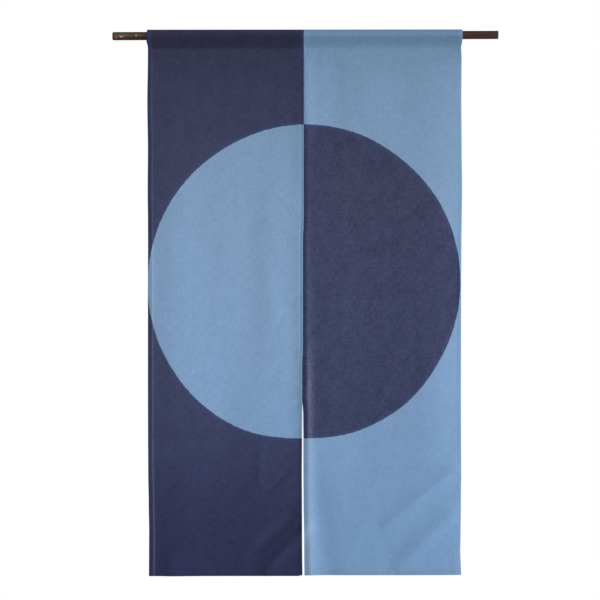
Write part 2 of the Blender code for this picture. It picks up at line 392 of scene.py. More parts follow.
class Panel:
    """One panel of the curtain: where its lines run, and which half of the disc it carries."""

    def __init__(self, edges, left_hem, right_hem, rises, sleeve_pull, disc, light_inside):
        self.edges = edges
        self.left_hem = left_hem
        self.right_hem = right_hem
        self.rises = rises
        self.sleeve_pull = sleeve_pull
        self.disc = disc
        self.light_inside = light_inside
        self.columns = panel_columns()

    def edge(self, side, drop):
        """x of the left (0) or right (1) edge. Down to the slit the two panels meet edge to edge."""
        x = edge_x(self.edges[side], drop)
        if self.edges[side] not in (LEFT_EDGES[1], RIGHT_EDGES[0]):
            return x + OUTER_EDGES_OUT[side]
        towards = SEAM_OVERLAP if side else -SEAM_OVERLAP
        open_share = smoothstep((drop - SLIT_OPENS_AT) / SLIT_OPENS_WITHIN)
        return lerp(seam_x(drop) + towards, x + FREE_EDGES_LEAN[1 - side], open_share)

    def hem(self, side, drop):
        """Width of the hem at the left (0) or right (1) edge."""
        return lerp(*(self.left_hem, self.right_hem)[side], drop / CLOTH_LENGTH)

    def x(self, drop):
        """x of each line of the mesh, at these drops."""
        gap = layer_gap(drop)
        share, left, right = self.columns["share"], self.columns["left"], self.columns["right"]
        left_x = self.edge(0, drop) + left[0] * self.hem(0, drop) + left[1] * gap + left[2]
        right_x = self.edge(1, drop) - right[0] * self.hem(1, drop) - right[1] * gap - right[2]
        return lerp(left_x, right_x, share)

    def front_y(self, x, drop):
        """y of the front layer of the hanging cloth."""
        folds = crease_depth(FOLDS, x, drop) + crease_depth(CREASES, x, drop) + wave_depth(x, drop)
        fade = smoothstep((drop - SLEEVE_DEPTH) / FOLD_FADE)
        relief = self.hem_relief(x, drop) - ridge_height(x, drop)
        return folds * fade + relief - CLOTH_THICKNESS / 2

    def hem_relief(self, x, drop):
        """The stitched lines pull in a little, and the turned cloth beside them stands proud."""
        relief = np.zeros(x.shape)
        below_sleeve = smoothstep((drop - SLEEVE_DEPTH) / FOLD_FADE)
        for side, sign in ((0, 1), (1, -1)):
            inward = sign * (x - self.edge(side, drop)) - self.hem(side, drop)
            relief += GROOVE_DEPTH * np.exp(-((inward / SIDE_GROOVE) ** 2))
            if side == 0 and self.disc == LEFT_DISC:
                relief -= HEM_STANDS * below_sleeve * (1 - smoothstep(inward / HEM_STEP + 0.3))
            if side == 1 and self.disc == RIGHT_DISC:
                relief += HEM_TURNS_BACK * below_sleeve * np.maximum(-inward, 0.0)
        above = CLOTH_LENGTH - BOTTOM_HEM - drop
        relief += GROOVE_DEPTH * np.exp(-((above / BOTTOM_GROOVE) ** 2))
        return relief

    def z(self, x, drop):
        """Height of the hanging cloth: its lower edge rises as the photograph shows."""
        across = (x - self.edge(0, drop)) / (self.edge(1, drop) - self.edge(0, drop))
        rise = lerp(*self.rises, smoothstep((across - LEFT_RISES_FROM) / (1 - LEFT_RISES_FROM)))
        low = smoothstep((drop - SLEEVE_DEPTH) / (CLOTH_LENGTH - SLEEVE_DEPTH))
        return top_height(x) - drop + rise * low

    def layers(self, drop):
        """How far each line of the mesh stands behind the front layer, at the side hems."""
        return self.columns["layers"] * layer_gap(drop)

    def sleeve_radius(self, x, drop):
        """Radius of the front layer around the rod, which has the hems' inner layers below it."""
        inward = np.minimum(
            x - self.edge(0, drop) - self.hem(0, drop),
            self.edge(1, drop) - self.hem(1, drop) - x,
        )
        doubled = 1 - smoothstep(inward / DOUBLED_FADE)
        return ROD_RADIUS + ROD_CLEARANCE + SLEEVE_EASE + 2 * PRESSED_GAP * doubled

    def into_light(self, x, z):
        """Distance into the light blue dye, negative in the navy."""
        sideways = np.abs(x - DISC_X)
        up = z - (TOP_ABOVE_AXIS - DISC_DROP)
        level = np.degrees(np.arctan2(up, sideways))
        inside = np.interp(level, DISC_RADII[:, 0], DISC_RADII[:, self.disc]) - np.hypot(sideways, up)
        return inside if self.light_inside else -inside

    def sewn_share(self, x, drop):
        """1 where the cloth is folded over and sewn, at the sides and at the bottom, and 0 elsewhere; there
        the dyes are lighter, partly from less dye in the tight layers, partly as painted light.
        """
        inward = np.minimum(
            x - self.edge(0, drop) - self.hem(0, drop),
            self.edge(1, drop) - self.hem(1, drop) - x,
        )
        inward = np.minimum(inward, CLOTH_LENGTH - BOTTOM_HEM - drop)
        return 1 - smoothstep(inward / SEWN_EDGE + 0.5)

    def highlight_share(self, x, drop):
        """Painted highlight: how strongly it shows along the ridge, and along the left edge's stitched line.
        """
        off_crest = past_crest(x, drop) - CREST_HIGHLIGHT_OFFSET
        off_crest = off_crest / np.where(off_crest < 0, *CREST_HIGHLIGHT_WIDTHS)
        height = table_value(RIDGE_HEIGHTS, drop, RIDGE_ROUNDING[1])
        along_ridge = np.exp(-off_crest**2) * (height / RIDGE_HEIGHTS[:, 1].max()) ** CREST_HIGHLIGHT_POWER
        off_hem = (x - self.edge(0, drop) - self.hem(0, drop)) / HEM_HIGHLIGHT_HALF_WIDTH
        lower = smoothstep(drop / CLOTH_LENGTH + HEM_HIGHLIGHT_LESS_ABOVE)
        along_hem = HEM_HIGHLIGHT_STRENGTH * np.exp(-off_hem**2) * lower
        return along_ridge + (along_hem if self.disc == LEFT_DISC else 0.0)


def layer_gap(drop):
    """Gap between the layers of a side hem: pressed flat where it is sewn over."""
    below_sleeve = smoothstep((drop - SLEEVE_DEPTH - GAP_OPENS_FROM) / GAP_CHANGES_OVER)
    above_bottom = smoothstep((CLOTH_LENGTH - BOTTOM_HEM - GAP_CLOSES_AT - drop) / GAP_CHANGES_OVER)
    return lerp(PRESSED_GAP, OPEN_GAP, below_sleeve * above_bottom)


def hem_columns():
    """Lines down one side hem, from its raw edge inside to the open cloth.

    Each line stands at a distance from the cloth's edge, in hem widths, gaps
    and metres, and so many gaps behind the front layer.
    """
    middle = [(a, -0.5, 0.0, 1.0) for a in np.linspace(1 - TURN_IN, 1.0, 3)]
    inner_fold = [
        (1.0, -0.5 + 0.5 * math.sin(turn), 0.0, 1.5 - 0.5 * math.cos(turn))
        for turn in np.radians((45, 90, 135))
    ]
    back = [(a, lerp(1.0, -0.5, a), 0.0, 2.0) for a in np.linspace(1.0, 0.0, 4)]
    edge = [
        (0.0, 1 - math.sin(turn), 0.0, 1 + math.cos(turn))
        for turn in np.radians((30, 60, 90, 120, 150))
    ]
    front = [(a, 1 - a, 0.0, 0.0) for a in (0.0, 0.2, 0.4, 0.6)]
    beside_stitches = [(1.0, 0.0, distance, 0.0) for distance in BESIDE_STITCHES]
    return np.array(middle + inner_fold + back + edge + front + beside_stitches)


def panel_columns():
    """The lines of the mesh that run down a panel, from one raw edge to the other."""
    hem = hem_columns()
    open_width = -EDGES[0, LEFT_EDGES[0]] - 4 * OUTER_HEM
    body = np.linspace(0.0, 1.0, int(open_width / COLUMN_STEP))[1:-1]
    share = np.concatenate((np.zeros(len(hem)), body, np.ones(len(hem))))
    count = len(body)
    last = np.repeat(hem[-1:], count, 0)
    left = np.concatenate((hem, last, np.repeat(hem[-1:], len(hem), 0)))
    right = np.concatenate((np.repeat(hem[-1:], len(hem), 0), last, hem[::-1]))
    layers = np.concatenate((hem[:, 3], np.zeros(count), hem[::-1, 3]))
    return {"share": share, "left": left.T[:3], "right": right.T[:3], "layers": layers}


def bottom_hem_rows(panel):
    """The hem at the bottom: up inside it, over its inner fold, down its back and around the edge."""
    mean = (BACK_LAYER + MIDDLE_LAYER) / 2
    bend = (BACK_LAYER - MIDDLE_LAYER) / 2
    half = BACK_LAYER / 2
    raw_edge = BOTTOM_HEM * (1 - TURN_IN)
    middle = [(up, MIDDLE_LAYER) for up in np.linspace(raw_edge, BOTTOM_HEM - bend, 3)]
    inner_fold = [
        (BOTTOM_HEM - bend + bend * math.sin(turn), mean - bend * math.cos(turn))
        for turn in np.radians((30, 60, 90, 120, 150))
    ]
    back = [(up, BACK_LAYER) for up in np.linspace(BOTTOM_HEM - bend, half, 5)]
    edge = [
        (half - half * math.sin(turn), half + half * math.cos(turn))
        for turn in np.radians((22, 45, 67, 90, 113, 135, 158))
    ]
    rows = np.array(middle + inner_fold + back + edge)
    drop = CLOTH_LENGTH - rows[:, :1]
    x = panel.x(drop)
    return x, panel.front_y(x, drop) + rows[:, 1:], panel.z(x, drop), np.broadcast_to(drop, x.shape)


def tangent_angles(radius, rise, hang):
    """Angles from the vertical between which the sleeve lies on the rod."""
    upper = TOP_ROUNDING + np.arccos(radius / rise)
    lower = math.pi - np.arccos(radius / hang)
    return upper, lower


def sleeve_frame(panel):
    """What the sleeve's rows share: x, radius, the rod's axis and the two tangent angles of each line."""
    drop = np.array([[SLEEVE_DEPTH / 2]])
    x = panel.x(drop)
    radius = panel.sleeve_radius(x, drop)
    axis = axis_height(x)
    rise = top_height(x) - axis
    hang = axis - (top_height(x) - SLEEVE_DEPTH)
    return x, radius, axis, *tangent_angles(radius, rise, hang)


def flank_y(panel, drop, side):
    """y of the sleeve from the rod down to its stitch line, at the front (-1) or the back (1)."""
    x, radius, axis, _, lower = sleeve_frame(panel)
    start = -CLOTH_THICKNESS / 2 if side < 0 else BACK_LAYER - CLOTH_THICKNESS / 2
    tangent_y = radius * np.sin(lower)
    tangent_drop = top_height(x) - axis - radius * np.cos(lower)
    pull, rounding = panel.sleeve_pull
    slope = (tangent_y - side * start + pull) / (SLEEVE_DEPTH - tangent_drop)
    return start + side * soft_positive(slope * (SLEEVE_DEPTH - drop) - pull, rounding)


def hanging_rows(panel):
    """The front of the panel, from its lower edge up to where the sleeve reaches the rod."""
    x, radius, axis, _, lower = sleeve_frame(panel)
    tangent_drop = top_height(x) - axis - radius * np.cos(lower)
    first = CLOTH_LENGTH - BACK_LAYER / 2
    hem_line = CLOTH_LENGTH - BOTTOM_HEM
    low = [hem_line - up for up in BESIDE_BOTTOM_STITCHES]
    count = int((hem_line - SLEEVE_DEPTH) / ROW_STEP)
    middle = np.linspace(hem_line - FIRST_ROW, SLEEVE_DEPTH + FIRST_ROW, count)
    seam = [SLEEVE_DEPTH + down for down in BESIDE_SLEEVE_STITCHES]
    drop = np.array([first, *low, *middle, *seam])[:, None] + np.zeros(x.shape)
    flank = lerp(seam[-1], tangent_drop, np.linspace(0, 1, 8)[1:, None])
    drop = np.concatenate((drop, flank))
    x = panel.x(drop)
    sleeve = flank_y(panel, drop, -1) + CLOTH_THICKNESS / 2
    z = np.where(drop > SLEEVE_DEPTH, panel.z(x, drop), top_height(x) - drop)
    return x, panel.front_y(x, drop) + sleeve, z, drop


def sleeve_rows(panel):
    """Around the rod, from the front tangent over the rounded top to the back tangent."""
    x, radius, axis, upper, lower = sleeve_frame(panel)
    lying = lerp(lower, upper, np.linspace(0, 1, 9)[1:, None])
    rising = upper * np.array(TOP_ROWS)[:, None]
    angle = np.concatenate((lying, rising, np.zeros(x.shape), -rising[::-1], -lying[::-1], -lower))
    lift = np.maximum(upper - np.sqrt(angle**2 + TOP_ROUNDING**2), 0.0)
    length = radius / np.cos(lift)
    z = axis + length * np.cos(angle)
    drop = top_height(x) - z
    return panel.x(drop), -length * np.sin(angle), z, drop


def sleeve_back_rows(panel):
    """Down the back of the sleeve to its stitch line, and its edge turned in."""
    x, radius, axis, _, lower = sleeve_frame(panel)
    tangent_drop = top_height(x) - axis - radius * np.cos(lower)
    flank = lerp(tangent_drop, SLEEVE_DEPTH, np.linspace(0, 1, 9)[1:, None])
    bend = (BACK_LAYER - MIDDLE_LAYER) / 2
    lowest = SLEEVE_DEPTH + SLEEVE_SEW_DOWN
    down = np.array((SLEEVE_DEPTH + 0.0010, lowest - bend))[:, None] + np.zeros(x.shape)
    drop = np.concatenate((flank, down))
    y = flank_y(panel, drop, 1)
    turn = np.radians((30, 60, 90, 120, 150, 180))[:, None]
    fold_y = (BACK_LAYER + MIDDLE_LAYER - CLOTH_THICKNESS) / 2 + bend * np.cos(turn) + np.zeros(x.shape)
    fold_drop = lowest - bend + bend * np.sin(turn) + np.zeros(x.shape)
    inside = np.array((0.003, 0.007))[:, None] + np.zeros(x.shape)
    drop = np.concatenate((drop, fold_drop, lowest - bend - inside))
    y = np.concatenate((y, fold_y, MIDDLE_LAYER - CLOTH_THICKNESS / 2 + 0 * inside))
    x = panel.x(drop)
    return x, y, top_height(x) - drop, drop


def path_normals(y, z):
    """Unit vectors (y, z) towards the cloth's back face, across each line's path."""
    step_y, step_z = np.diff(y, axis=0), np.diff(z, axis=0)
    length = np.hypot(step_y, step_z)
    step_y, step_z = step_y / length, step_z / length
    along_y = np.concatenate((step_y[:1], step_y[1:] + step_y[:-1], step_y[-1:]))
    along_z = np.concatenate((step_z[:1], step_z[1:] + step_z[:-1], step_z[-1:]))
    length = np.hypot(along_y, along_z)
    return along_z / length, -along_y / length


def grid_faces(rows, columns):
    """Quads of a grid of points, numbered row by row, facing the front."""
    first = np.arange(rows - 1)[:, None] * columns + np.arange(columns - 1)
    quads = np.stack((first, first + 1, first + columns + 1, first + columns), -1)
    return quads.reshape(-1, 4)


def make_object(name, points, faces, material):
    mesh = bpy.data.meshes.new(name)
    mesh.from_pydata(points, [], faces)
    mesh.materials.append(material)
    mesh.shade_smooth()
    piece = bpy.data.objects.new(name, mesh)
    bpy.context.scene.collection.objects.link(piece)
    return piece


def store_value(piece, name, value):
    """A number at each point of the mesh, for the material."""
    attribute = piece.data.attributes.new(name, "FLOAT", "POINT")
    attribute.data.foreach_set("value", value.astype(np.float32).ravel())


def store_cloth_map(piece, across, along, faces):
    """A map of the flat cloth in metres, so that the weave runs with the threads."""
    layer = piece.data.uv_layers.new(name="cloth")
    flat = np.stack((across.ravel(), along.ravel()), -1)[faces.ravel()]
    layer.uv.foreach_set("vector", flat.astype(np.float32).ravel())


def build_panel(name, panel, material):
    """One panel as a single sheet, from the raw edge in its lower hem to the one behind its sleeve."""
    blocks = [bottom_hem_rows(panel), hanging_rows(panel), sleeve_rows(panel), sleeve_back_rows(panel)]
    x, y, z, drop = (np.concatenate(part) for part in zip(*blocks))
    normal_y, normal_z = path_normals(y, z)
    behind = panel.layers(drop)
    y = y + behind * normal_y
    z = z + behind * normal_z
    points = np.stack((x, y, z), -1).reshape(-1, 3)
    faces = grid_faces(*x.shape)
    piece = make_object(name, points.tolist(), faces.tolist(), material)
    store_value(piece, "into_light", panel.into_light(x, z))
    # Painted highlight beside the ridge's crest and along the left edge's hem
    store_value(piece, "painted_highlight", panel.highlight_share(x, drop))
    store_value(piece, "sewn", panel.sewn_share(x, drop))
    step = np.hypot(np.diff(y, axis=0), np.diff(z, axis=0))
    along = np.concatenate((np.zeros((1, x.shape[1])), np.cumsum(step, 0)))
    middle = x.shape[0] // 2
    width = np.hypot(np.diff(x[middle]), np.diff(y[middle]))
    across = np.concatenate(([0.0], np.cumsum(width))) + np.zeros(x.shape)
    store_cloth_map(piece, across, along, faces)
    return piece


def build_rod(material):
    """The rod as one closed skin of rings: rounded ends, and a slightly uneven hand-worked surface."""
    low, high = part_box("rod")
    left_round, right_round = ROD_ENDS_ROUNDED
    turn = np.radians(np.linspace(0, 90, ROD_END_RINGS))
    count = int((high[0] - low[0]) / ROD_RING_STEP)
    body = np.linspace(low[0] + left_round, high[0] - right_round, count)
    x = np.concatenate((
        low[0] + left_round * (1 - np.sin(turn[::-1])),
        body[1:-1],
        high[0] - right_round * (1 - np.sin(turn)),
    ))
    inset = np.concatenate((
        left_round * (1 - np.cos(turn[::-1])),
        np.zeros(len(body) - 2),
        right_round * (1 - np.cos(turn)),
    ))
    angle = np.radians(np.linspace(0, 360, ROD_CORNERS, endpoint=False))
    values = [
        [noise.noise(Vector((a * ROD_UNEVEN_OFTEN, math.cos(b), math.sin(b)))) for b in angle]
        for a in x
    ]
    radius = ROD_RADIUS - inset[:, None] - ROD_UNEVEN * np.abs(values)
    y = radius * np.sin(angle)
    z = axis_height(x)[:, None] + radius * np.cos(angle)
    points = np.stack((x[:, None] + 0 * y, y, z), -1).reshape(-1, 3)
    ring = np.arange(len(x) - 1)[:, None] * ROD_CORNERS
    corner = np.arange(ROD_CORNERS)
    following = (corner + 1) % ROD_CORNERS
    quads = np.stack((ring + corner, ring + ROD_CORNERS + corner,
                      ring + ROD_CORNERS + following, ring + following), -1).reshape(-1, 4)
    ends = [corner.tolist(), ((len(x) - 1) * ROD_CORNERS + corner[::-1]).tolist()]
    return make_object("rod_worked", points.tolist(), quads.tolist() + ends, material)


def spaced(first, last, pitch):
    """Places along a line, one for each stitch."""
    return np.arange(first + pitch / 2, last - pitch, pitch)


def hem_stitch_lines(panel):
    """The running stitches of one panel: each one's middle, and its half length across and down."""
    lines = []
    first = SLEEVE_DEPTH + SLEEVE_SEW_DOWN + STITCH_PITCH
    down = spaced(first, CLOTH_LENGTH - BOTTOM_HEM, STITCH_PITCH)
    for side, sign in ((0, 1), (1, -1)):
        x = panel.edge(side, down) + sign * (panel.hem(side, down) - STITCH_INSET)
        lines.append((x, down, 0.0, STITCH_LENGTH / 2))
    for level in (SLEEVE_DEPTH, CLOTH_LENGTH - BOTTOM_HEM + STITCH_INSET):
        across = spaced(panel.edge(0, level), panel.edge(1, level), STITCH_PITCH)
        lines.append((across, np.full(across.shape, level), STITCH_LENGTH / 2, 0.0))
    return lines


def seam_stitch_line():
    """Slanting stitches over the two meeting edges, closer together at the end of the seam."""
    down = np.concatenate((
        spaced(SLEEVE_DEPTH + STITCH_PITCH, SEAM_SEWN_TO, STITCH_PITCH),
        spaced(SEAM_SEWN_TO, SEAM_SEWN_TO + SEAM_BAR_LENGTH, SEAM_BAR_PITCH),
        spaced(SEAM_SEWN_TO + SEAM_BAR_LENGTH, SLIT_OPENS_AT, 2 * STITCH_PITCH),
    ))
    return seam_x(down), down, STITCH_LENGTH / 3, STITCH_LENGTH / 6


def stitch_points(panel, line, behind, shift):
    """Rings of points around each stitch of a line.

    They lie on the front face, or on the one that is as far behind it as this function of drop says.
    """
    x, drop, half_across, half_down = line
    place = STITCH_RINGS + shift
    x = x[:, None] + place * half_across
    drop = drop[:, None] + place * half_down
    side = -1 if behind is None else 1
    lift = THREAD_RADIUS * (STITCH_HEIGHT - STITCH_DIP * STITCH_RINGS**2)
    y = panel.front_y(x, drop) + side * lift + (0.0 if behind is None else behind(drop))
    z = panel.z(x, drop)
    turn = np.radians((0, 90, 180, 270))
    length = math.hypot(half_across, half_down)
    flat = THREAD_RADIUS * np.cos(turn)
    ring_x = x[..., None] + flat * half_down / length
    ring_y = y[..., None] + THREAD_RADIUS * np.sin(turn)
    ring_z = z[..., None] + flat * half_across / length
    return np.stack((ring_x, ring_y, ring_z), -1)


def build_stitches(name, panel, panels, with_seam, material):
    """All the stitches of one panel as one piece: a running stitch shows in front, then behind.

    The thread was dyed with the cloth, so it takes the dye of the panel that it lies on.
    """
    points = []
    for line in hem_stitch_lines(panel):
        along_side = line[2] == 0.0
        points.append(stitch_points(panel, line, None, 0.0))
        layers = (lambda drop: 2 * layer_gap(drop)) if along_side else (lambda drop: BACK_LAYER)
        points.append(stitch_points(panel, line, layers, STITCH_PITCH / STITCH_LENGTH))
    if with_seam:
        points.append(stitch_points(panel, seam_stitch_line(), None, 0.0))
    points = np.concatenate(points)
    stitches, rings, corners, _ = points.shape
    ring, corner = np.meshgrid(np.arange(rings - 1), np.arange(corners), indexing="ij")
    following = (corner + 1) % corners
    quads = np.stack((ring * corners + corner, ring * corners + following,
                      (ring + 1) * corners + following, (ring + 1) * corners + corner), -1).reshape(-1, 4)
    faces = (np.arange(stitches)[:, None, None] * rings * corners + quads).reshape(-1, 4)
    x, y, z = points.reshape(-1, 3).T
    piece = make_object(name, points.reshape(-1, 3).tolist(), faces.tolist(), material)
    on_left = x < seam_x(top_height(x) - z)
    into_light = np.where(on_left, panels[0].into_light(x, z), panels[1].into_light(x, z))
    store_value(piece, "into_light", into_light)
    return piece


class Nodes:
    """Small helper that adds shader nodes and links them."""

    def __init__(self, name):
        self.material = bpy.data.materials.new(name)
        self.material.use_nodes = True
        self.tree = self.material.node_tree
        self.tree.nodes.clear()

    def add(self, kind, values=None, **settings):
        node = self.tree.nodes.new("ShaderNode" + kind)
        for key, value in settings.items():
            setattr(node, key, value)
        for key, value in (values or {}).items():
            self.set(node.inputs[key], value)
        return node

    def set(self, socket, value):
        if isinstance(value, bpy.types.NodeSocket):
            self.tree.links.new(value, socket)
        else:
            socket.default_value = value

    def math(self, operation, *values):
        node = self.add("Math", operation=operation)
        for socket, value in zip(node.inputs, values):
            self.set(socket, value)
        return node.outputs[0]

    def ramp(self, value, low, high, start=0.0, end=1.0):
        node = self.add("MapRange", {"Value": value, "From Min": low, "From Max": high}, clamp=True)
        node.interpolation_type = "SMOOTHSTEP"
        node.inputs["To Min"].default_value = start
        node.inputs["To Max"].default_value = end
        return node.outputs["Result"]

    def noise(self, vector, scale, detail=2.0, roughness=0.5):
        stretched = self.add("Mapping", {"Vector": vector, "Scale": scale})
        values = {
            "Vector": stretched.outputs[0], "Scale": 1.0, "Detail": detail, "Roughness": roughness,
        }
        return self.add("TexNoise", values).outputs["Fac"]

    def mix(self, share, first, second):
        node = self.add("Mix", data_type="RGBA")
        self.set(node.inputs["Factor"], share)
        self.set(node.inputs[6], first)
        self.set(node.inputs[7], second)
        return node.outputs[2]

    def scaled(self, colour, factor):
        node = self.add("VectorMath", operation="SCALE")
        self.set(node.inputs[0], colour if isinstance(colour, bpy.types.NodeSocket) else colour[:3])
        self.set(node.inputs["Scale"], factor)
        return node.outputs[0]


# Dyes, linear: what a thread reflects, and what shines through the cloth and between its threads
NAVY = (0.040, 0.044, 0.105, 1.0)
# Painted light: the navy a little bluer lower down
NAVY_LOW = (0.040, 0.048, 0.134, 1.0)
# Painted shade: the navy darker near the bottom
NAVY_PAINTED_SHADE = (0.026, 0.031, 0.102, 1.0)
NAVY_RIM = (0.032, 0.072, 0.205, 1.0)
# Lighter where folded over and sewn: partly less dye in the tight layers, partly painted light
NAVY_SEWN = (0.046, 0.063, 0.162, 1.0)
# Painted highlight: paler navy beside the ridge's crest and along the left edge's hem
NAVY_PAINTED_HIGHLIGHT = (0.146, 0.150, 0.248, 1.0)
NAVY_THROUGH = (0.066, 0.078, 0.130, 1.0)
LIGHT_BLUE = (0.248, 0.436, 0.700, 1.0)
# Painted light: the light blue a little bluer lower down
LIGHT_LOW = (0.247, 0.460, 0.810, 1.0)
LIGHT_RIM = (0.282, 0.428, 0.705, 1.0)
# Lighter where folded over and sewn: partly less dye in the tight layers, partly painted light
LIGHT_SEWN = (0.275, 0.468, 0.740, 1.0)
# Painted highlight: paler light blue beside the ridge's crest and along the left edge's hem
LIGHT_BLUE_PAINTED_HIGHLIGHT = (0.345, 0.465, 0.625, 1.0)
LIGHT_THROUGH = (0.180, 0.195, 0.210, 1.0)
THROUGH_SHARE = 0.42

# The line between the dyes: how far they bleed, half its width, and the distances from it within
# which each dye shows its rim
BLEED = 0.0005
DYE_EDGE = 0.0006
NAVY_RIM_WITHIN = (-0.0120, -0.0005)
LIGHT_RIM_WITHIN = (0.0020, 0.0060)

# Heights between which both dyes turn a little bluer downwards, as painted light, between which the
# navy turns darker downwards, as painted shade, and between which both are a little darker towards
# the rod, as painted shade
BLUER_DOWN = (0.0, -1.15)
PAINTED_SHADE_DOWN = (-1.05, -1.42)
NEAR_ROD = (-0.040, -0.170)
NEAR_ROD_SHADE = 0.93


def thread_noises(n, flat, place):
    """The unevenness of the weave and of the dye, each about 0 and no more than 1 away from it."""
    warp = n.noise(flat, (650.0, 60.0, 1.0), 3.0, 0.6)
    weft = n.noise(flat, (60.0, 650.0, 1.0), 3.0, 0.6)
    slub_down = n.noise(flat, (260.0, 60.0, 1.0), 1.0)
    slub_across = n.noise(flat, (45.0, 170.0, 1.0), 1.0)
    specks = n.noise(flat, (330.0, 230.0, 1.0), 1.0)
    clouds = n.noise(place, (30.0, 30.0, 18.0), 4.0, 0.6)
    return {
        "threads": n.ramp(n.math("ADD", warp, weft), 0.6, 1.4, -1.0, 1.0),
        "slubs_down": n.ramp(slub_down, 0.25, 0.75, -1.0, 1.0),
        "slubs_across": n.ramp(slub_across, 0.25, 0.75, -1.0, 1.0),
        "specks": n.ramp(specks, 0.25, 0.75, -1.0, 1.0),
        "clouds": n.ramp(clouds, 0.25, 0.75, -1.0, 1.0),
    }


# How strongly each kind of unevenness shows in the dye, and by how much this is multiplied in each
# panel's navy and in the light dye
DYE_CONTRAST = {
    "threads": 0.07,
    "slubs_down": 0.08,
    "slubs_across": 0.05,
    "specks": 0.05,
    "clouds": 0.07,
}
NAVY_CONTRAST = {"panel_left": 1.1, "panel_right": 1.7}
LIGHT_CONTRAST = 0.5

# How far the painted highlight covers the dye, how much the specks vary this, and the share of it in
# the light dye, and how much less of the sewn cloth's colour the navy shows where it is painted darkest
HIGHLIGHT_COVER = 0.85
HIGHLIGHT_SPECKS = 0.30
HIGHLIGHT_IN_LIGHT = 0.8
SEWN_LESS_WHERE_SHADED = 0.6


def cloth_material(name, navy_contrast):
    """Hand-woven hemp in two blues: uneven threads, cloudy dye, a resist line around the disc, and painted
    highlights and painted shade.
    """
    n = Nodes(name)
    flat = n.add("UVMap", uv_map="cloth").outputs["UV"]
    place = n.add("TexCoord").outputs["Object"]
    height = n.add("SeparateXYZ", {0: place}).outputs["Z"]
    kinds = thread_noises(n, flat, place)
    uneven = 0.0
    for kind, contrast in DYE_CONTRAST.items():
        uneven = n.math("MULTIPLY_ADD", kinds[kind], contrast, uneven)
    bleed = n.noise(place, (110.0, 110.0, 110.0), 2.0)
    distance = n.add("Attribute", attribute_name="into_light").outputs["Fac"]
    distance = n.math("ADD", distance, n.ramp(bleed, 0.3, 0.7, -BLEED, BLEED))
    in_light = n.ramp(distance, -DYE_EDGE, DYE_EDGE)
    # Painted light: both dyes a little bluer downwards
    bluer = n.ramp(height, BLUER_DOWN[1], BLUER_DOWN[0], 1.0, 0.0)
    # Painted shade: the navy darker towards the bottom
    painted_shade_low = n.ramp(height, PAINTED_SHADE_DOWN[1], PAINTED_SHADE_DOWN[0], 1.0, 0.0)
    # Lighter where folded over and sewn: partly less dye, partly painted light
    sewn = n.add("Attribute", attribute_name="sewn").outputs["Fac"]
    # Painted highlight beside the ridge's crest and along the left edge's hem, laid over both dyes
    painted_highlight = n.add("Attribute", attribute_name="painted_highlight").outputs["Fac"]
    painted_highlight = n.math("MULTIPLY", painted_highlight, n.math("MULTIPLY_ADD", kinds["specks"], HIGHLIGHT_SPECKS, HIGHLIGHT_COVER))
    navy = n.mix(painted_shade_low, n.mix(bluer, NAVY, NAVY_LOW), NAVY_PAINTED_SHADE)
    navy = n.mix(n.ramp(distance, *NAVY_RIM_WITHIN), navy, NAVY_RIM)
    sewn_navy = n.math("MULTIPLY", sewn, n.math("MULTIPLY_ADD", painted_shade_low, -SEWN_LESS_WHERE_SHADED, 1.0))
    navy = n.mix(sewn_navy, navy, NAVY_SEWN)
    navy = n.mix(painted_highlight, navy, NAVY_PAINTED_HIGHLIGHT)
    light = n.mix(bluer, LIGHT_BLUE, LIGHT_LOW)
    light = n.mix(n.ramp(distance, *LIGHT_RIM_WITHIN, 1.0, 0.0), light, LIGHT_RIM)
    light = n.mix(n.math("MULTIPLY", painted_highlight, HIGHLIGHT_IN_LIGHT), n.mix(sewn, light, LIGHT_SEWN), LIGHT_BLUE_PAINTED_HIGHLIGHT)
    # Painted shade: both dyes a little darker towards the rod
    near_rod = n.ramp(height, NEAR_ROD[1], NEAR_ROD[0], 1.0, NEAR_ROD_SHADE)
    navy_share = n.math("MULTIPLY", n.math("MULTIPLY_ADD", uneven, navy_contrast, 1.0), near_rod)
    light_share = n.math("MULTIPLY", n.math("MULTIPLY_ADD", uneven, LIGHT_CONTRAST, 1.0), near_rod)
    colour = n.mix(in_light, n.scaled(navy, navy_share), n.scaled(light, light_share))
    shining = n.mix(in_light, n.scaled(NAVY_THROUGH, navy_share), n.scaled(LIGHT_THROUGH, light_share))
    relief = n.math("MULTIPLY_ADD", kinds["slubs_down"], 0.3, kinds["threads"])
    bump = n.add("Bump", {"Height": relief, "Strength": 0.6, "Distance": 0.0002})
    surface = n.add("BsdfPrincipled", {"Base Color": colour, "Normal": bump.outputs[0]})
    surface.inputs["Roughness"].default_value = 0.92
    surface.inputs["Specular IOR Level"].default_value = 0.15
    surface.inputs["Sheen Weight"].default_value = 0.08
    surface.inputs["Sheen Roughness"].default_value = 0.6
    through = n.add("BsdfTranslucent", {"Color": shining, "Normal": bump.outputs[0]})
    both = n.add("MixShader", {0: THROUGH_SHARE, 1: surface.outputs[0], 2: through.outputs[0]})
    out = n.add("OutputMaterial")
    n.tree.links.new(both.outputs[0], out.inputs["Surface"])
    return n.material


def thread_material():
    """Sewing thread that was dyed with the cloth."""
    n = Nodes("dyed_thread")
    place = n.add("TexCoord").outputs["Object"]
    fibres = n.noise(place, (2600.0, 2600.0, 2600.0), 2.0)
    distance = n.add("Attribute", attribute_name="into_light").outputs["Fac"]
    colour = n.mix(n.ramp(distance, -DYE_EDGE, DYE_EDGE), NAVY_SEWN, LIGHT_SEWN)
    colour = n.scaled(colour, n.ramp(fibres, 0.3, 0.7, 0.80, 1.25))
    bump = n.add("Bump", {"Height": fibres, "Strength": 0.5, "Distance": 0.0002})
    surface = n.add("BsdfPrincipled", {"Base Color": colour, "Normal": bump.outputs[0]})
    surface.inputs["Roughness"].default_value = 0.85
    surface.inputs["Specular IOR Level"].default_value = 0.2
    out = n.add("OutputMaterial")
    n.tree.links.new(surface.outputs[0], out.inputs["Surface"])
    return n.material
